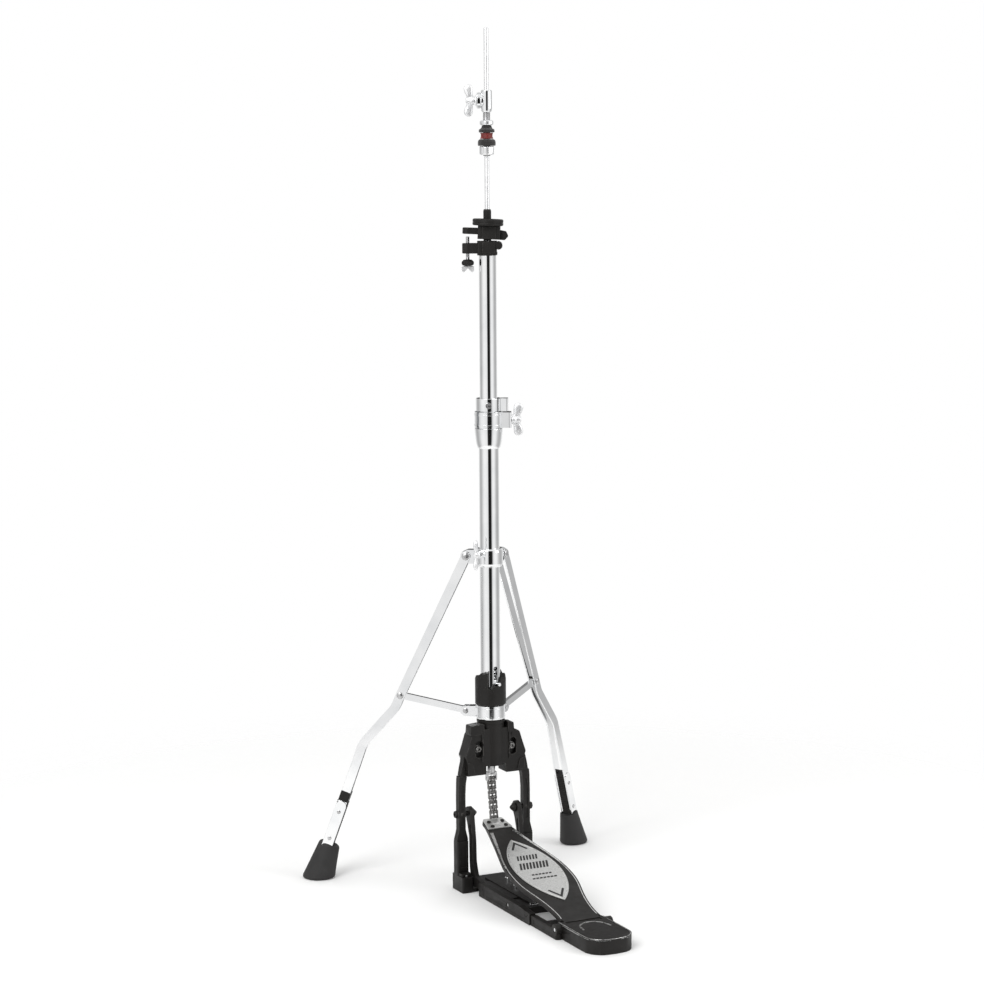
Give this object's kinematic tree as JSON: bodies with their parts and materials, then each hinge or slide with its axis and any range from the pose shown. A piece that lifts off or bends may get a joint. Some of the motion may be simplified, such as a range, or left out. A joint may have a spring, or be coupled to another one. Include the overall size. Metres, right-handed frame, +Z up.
{
  "type": "hi-hat stand",
  "caption": "Chromed hi-hat stand with a pedal, chain, pull rod, cymbal seat and clutch, a spring tension cam and folding legs with rubber feet",
  "frame": {"origin": "on the floor under the axis of the tubes, on the underside of the pedal's front frame", "axes": "+Z up along the tubes, -Y along the pedal to its heel, +X across the pedal"},
  "size_m": [0.4242, 0.4889, 1.1005],
  "materials": {
    "chrome": "polished chrome plate",
    "black_casting": "satin black powder coat",
    "black_steel": "black finish, fine grain",
    "silver_plate": "brushed, matt",
    "spring_steel": "bare steel, lightly oiled",
    "rubber": "matt moulded rubber",
    "nylon": "matt",
    "felt": "pressed black felt",
    "red_ring": "matt dark red"
  },
  "bodies": {
    "root": {"base_tube": "chrome", "hub_casting": "black_casting", "left_column": "black_casting", "right_column": "black_casting", "left_hub_bolt": "chrome", "right_hub_bolt": "chrome", "rod_bush": "nylon", "clamp_sleeve": "chrome", "clamp_body": "chrome", "left_arm_pivot": "black_steel", "right_arm_pivot": "black_steel"},
    "clamp_wing": {"clamp_wing_bolt": "chrome"},
    "memory_lock": {"memory_lock": "chrome", "memory_lock_screw": "chrome"},
    "mast": {"upper_tube": "chrome", "seat_base": "black_casting", "seat_post": "black_steel"},
    "seat": {"seat_cup": "black_casting"},
    "seat_screw": {"seat_tilt_screw": "black_steel"},
    "pull_rod": {"lower_pull_rod": "spring_steel", "upper_pull_rod": "chrome", "rod_coupler": "spring_steel", "spring_stop": "spring_steel", "chain_adapter": "chrome"},
    "chain": {"chain": "spring_steel"},
    "clutch": {"clutch_body": "chrome", "clutch_tube": "chrome", "clutch_top_nut": "chrome", "clutch_upper_felt": "felt", "clutch_ring": "red_ring", "clutch_lower_cup": "felt", "clutch_bottom_nut": "chrome"},
    "clutch_wing": {"clutch_wing_bolt": "chrome"},
    "cam": {"tension_cam": "black_casting"},
    "yoke": {"tension_yoke": "spring_steel", "pedal_spring": "spring_steel"},
    "leg_ring": {"brace_ring": "chrome"},
    "collar": {"leg_collar": "chrome"},
    "collar_screw": {"collar_wing_screw": "chrome"},
    "left_leg": {"left_leg_front_strap": "chrome", "left_leg_rear_strap": "chrome", "left_foot_spacer": "black_steel", "left_rubber_foot": "rubber"},
    "right_leg": {"right_leg_front_strap": "chrome", "right_leg_rear_strap": "chrome", "right_foot_spacer": "black_steel", "right_rubber_foot": "rubber"},
    "left_brace": {"left_brace": "chrome"},
    "right_brace": {"right_brace": "chrome"},
    "pedal_frame": {"front_frame": "black_casting", "left_side_arm": "black_casting", "right_side_arm": "black_casting", "heel_base": "black_casting", "heel_pin": "chrome"},
    "pedal": {"footboard": "black_casting", "badge_plate": "silver_plate", "toe_plate": "silver_plate"}
  },
  "joints": [
    {"name": "footboard_press", "type": "hinge", "parent": "pedal_frame", "child": "pedal", "pos_m": [0, -0.252, 0.0115], "axis": [-1, 0, 0], "range_deg": [0, 8], "stiffness_Nm_per_rad": 60, "springref_deg": -9.17},
    {"name": "rod_slide", "type": "slide", "parent": "root", "child": "pull_rod", "axis": [0, 0, -1], "range_m": [0, 0.0345], "deforming": ["pedal_spring"]},
    {"name": "chain_swing", "type": "hinge", "parent": "pull_rod", "child": "chain", "pos_m": [0, 0, 0.141], "axis": [1, 0, 0], "range_deg": [0, 9.2]},
    {"name": "clutch_slide", "type": "slide", "parent": "pull_rod", "child": "clutch", "axis": [0, 0, 1], "range_m": [-0.03, 0.06]},
    {"name": "clutch_wing_turn", "type": "hinge", "parent": "clutch", "child": "clutch_wing", "pos_m": [-0.01348, 0.00658, 1.01], "axis": [0.8988, -0.4384, 0], "continuous": true},
    {"name": "mast_slide", "type": "slide", "parent": "root", "child": "mast", "axis": [0, 0, 1], "range_m": [-0.075, 0.06]},
    {"name": "clamp_wing_turn", "type": "hinge", "parent": "root", "child": "clamp_wing", "pos_m": [0.02651, -0.01293, 0.608], "axis": [0.8988, -0.4384, 0], "continuous": true},
    {"name": "memory_lock_slide", "type": "slide", "parent": "root", "child": "memory_lock", "axis": [0, 0, 1], "range_m": [0, 0.1]},
    {"name": "seat_tilt", "type": "hinge", "parent": "mast", "child": "seat", "pos_m": [0.01258, -0.00614, 0.838], "axis": [0.4384, 0.8988, 0], "range_deg": [-2.4, 5]},
    {"name": "seat_screw_turn", "type": "hinge", "parent": "mast", "child": "seat_screw", "pos_m": [-0.02247, 0.01096, 0.806], "axis": [0, 0, 1], "continuous": true},
    {"name": "tension_turn", "type": "hinge", "parent": "root", "child": "cam", "pos_m": [0, 0, 0.25], "axis": [0, 0, -1], "range_deg": [-28, 125]},
    {"name": "tension_lift", "type": "slide", "parent": "root", "child": "yoke", "axis": [0, 0, 1], "range_m": [-0.0045, 0.0172]},
    {"name": "legs_swivel", "type": "hinge", "parent": "root", "child": "leg_ring", "pos_m": [0, 0, 0.23], "axis": [0, 0, 1], "range_deg": [-20, 20]},
    {"name": "legs_fold", "type": "slide", "parent": "leg_ring", "child": "collar", "axis": [0, 0, 1], "range_m": [0, 0.085]},
    {"name": "left_leg_fold", "type": "hinge", "parent": "collar", "child": "left_leg", "pos_m": [-0.02469, 0.01704, 0.432], "axis": [-0.5678, -0.8231, 0], "range_deg": [0, 18.2]},
    {"name": "right_leg_fold", "type": "hinge", "parent": "collar", "child": "right_leg", "pos_m": [0.02469, 0.01704, 0.432], "axis": [-0.5678, 0.8231, 0], "range_deg": [0, 18.2]},
    {"name": "left_brace_fold", "type": "hinge", "parent": "leg_ring", "child": "left_brace", "pos_m": [-0.02634, 0.01817, 0.23], "axis": [0.5678, 0.8231, 0], "range_deg": [0, 62.6]},
    {"name": "right_brace_fold", "type": "hinge", "parent": "leg_ring", "child": "right_brace", "pos_m": [0.02634, 0.01817, 0.23], "axis": [0.5678, -0.8231, 0], "range_deg": [0, 62.6]},
    {"name": "collar_screw_turn", "type": "hinge", "parent": "collar", "child": "collar_screw", "pos_m": [-0.024, -0.015, 0.4374], "axis": [-0.848, -0.5299, 0], "continuous": true},
    {"name": "pedal_fold", "type": "hinge", "parent": "root", "child": "pedal_frame", "pos_m": [0, -0.0055, 0.0995], "axis": [-1, 0, 0], "range_deg": [0, 75]}
  ],
  "couplings": [
    {"joint": "rod_slide", "follows": "footboard_press", "m_per_rad": 0.24422},
    {"joint": "chain_swing", "follows": "footboard_press", "ratio": 1.134},
    {"joint": "tension_lift", "follows": "tension_turn", "m_per_rad": 0.00748},
    {"joint": "left_leg_fold", "follows": "legs_fold", "rad_per_m": 3.6982},
    {"joint": "right_leg_fold", "follows": "legs_fold", "rad_per_m": 3.6982},
    {"joint": "left_brace_fold", "follows": "legs_fold", "rad_per_m": 12.785},
    {"joint": "right_brace_fold", "follows": "legs_fold", "rad_per_m": 12.785}
  ]
}
